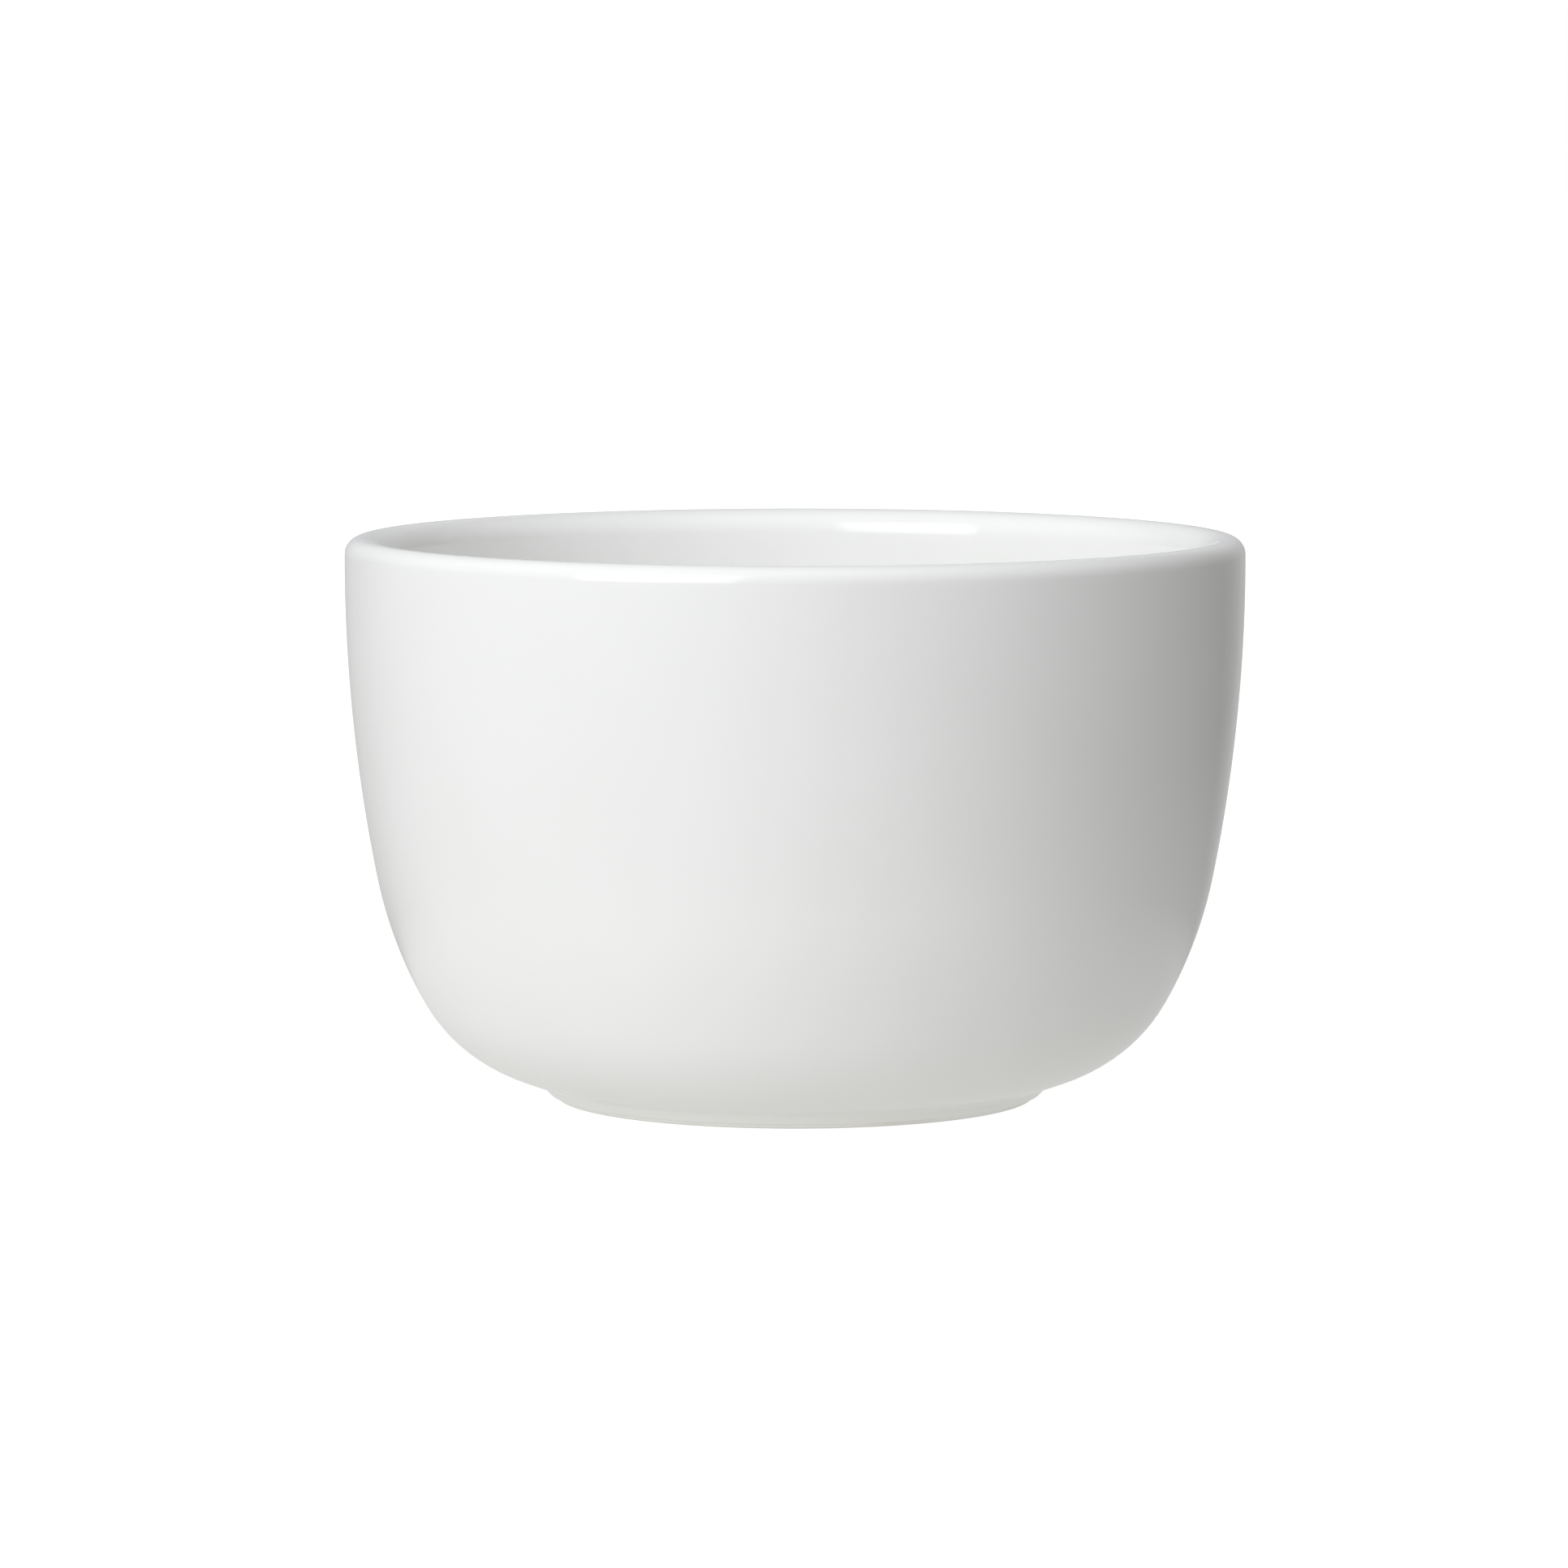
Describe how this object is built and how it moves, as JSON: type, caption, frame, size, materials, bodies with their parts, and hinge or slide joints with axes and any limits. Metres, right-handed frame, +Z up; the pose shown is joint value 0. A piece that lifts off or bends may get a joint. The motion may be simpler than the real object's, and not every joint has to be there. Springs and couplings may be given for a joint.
{
  "type": "latte bowl",
  "caption": "Handleless round white porcelain bowl with a thick rounded lip, a gently curved upright wall, a rounded hip and a low foot ring, for drinking milky coffee.",
  "frame": {"origin": "on the table, under the middle of the foot ring", "axes": "+Z up along the axis that the bowl is turned about; X and Y are any two directions across it"},
  "size_m": [0.12, 0.12, 0.0752],
  "materials": {
    "porcelain": "matte",
    "glaze": "gloss"
  },
  "bodies": {
    "root": {"porcelain_body": "porcelain", "glaze_coat": "glaze", "base_glaze": "glaze"}
  },
  "joints": []
}
